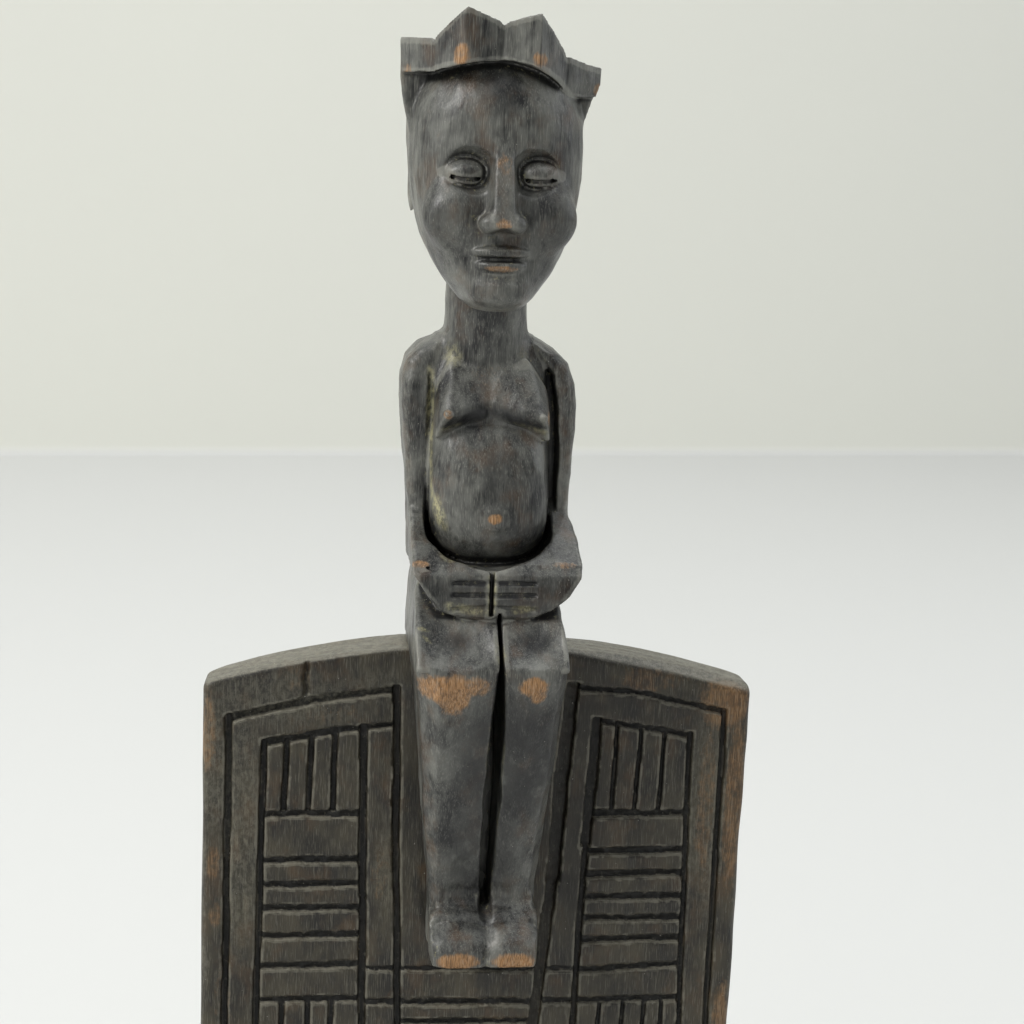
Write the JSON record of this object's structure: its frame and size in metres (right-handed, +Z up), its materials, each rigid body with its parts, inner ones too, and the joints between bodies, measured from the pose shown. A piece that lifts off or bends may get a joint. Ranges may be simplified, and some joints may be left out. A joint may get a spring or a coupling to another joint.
{
  "type": "carved ancestor figure",
  "caption": "Seated wooden figure with hands on its lap, pegged on the arched top of a relief-carved board that stands in a plinth.",
  "frame": {"origin": "centre of the plinth's underside, on the surface that it stands on", "axes": "+Z up, the figure and the carved relief face -Y, +X to the viewer's right"},
  "size_m": [0.15, 0.076, 0.359],
  "materials": {
    "figure": "blackened and waxed, satin",
    "panel": "dark brown stain, waxed, satin",
    "plinth": "dark brown stain, waxed, satin",
    "seat_peg_left": "bare, cut with a knife",
    "seat_peg_right": "bare, cut with a knife",
    "leg_peg_left": "bare, cut with a knife",
    "leg_peg_right": "bare, cut with a knife",
    "tenon_peg_left": "bare, cut with a knife",
    "tenon_peg_right": "bare, cut with a knife"
  },
  "bodies": {
    "root": {"figure": "figure", "panel": "panel", "plinth": "plinth", "seat_peg_left": "seat_peg_left", "seat_peg_right": "seat_peg_right", "leg_peg_left": "leg_peg_left", "leg_peg_right": "leg_peg_right", "tenon_peg_left": "tenon_peg_left", "tenon_peg_right": "tenon_peg_right"}
  },
  "joints": []
}
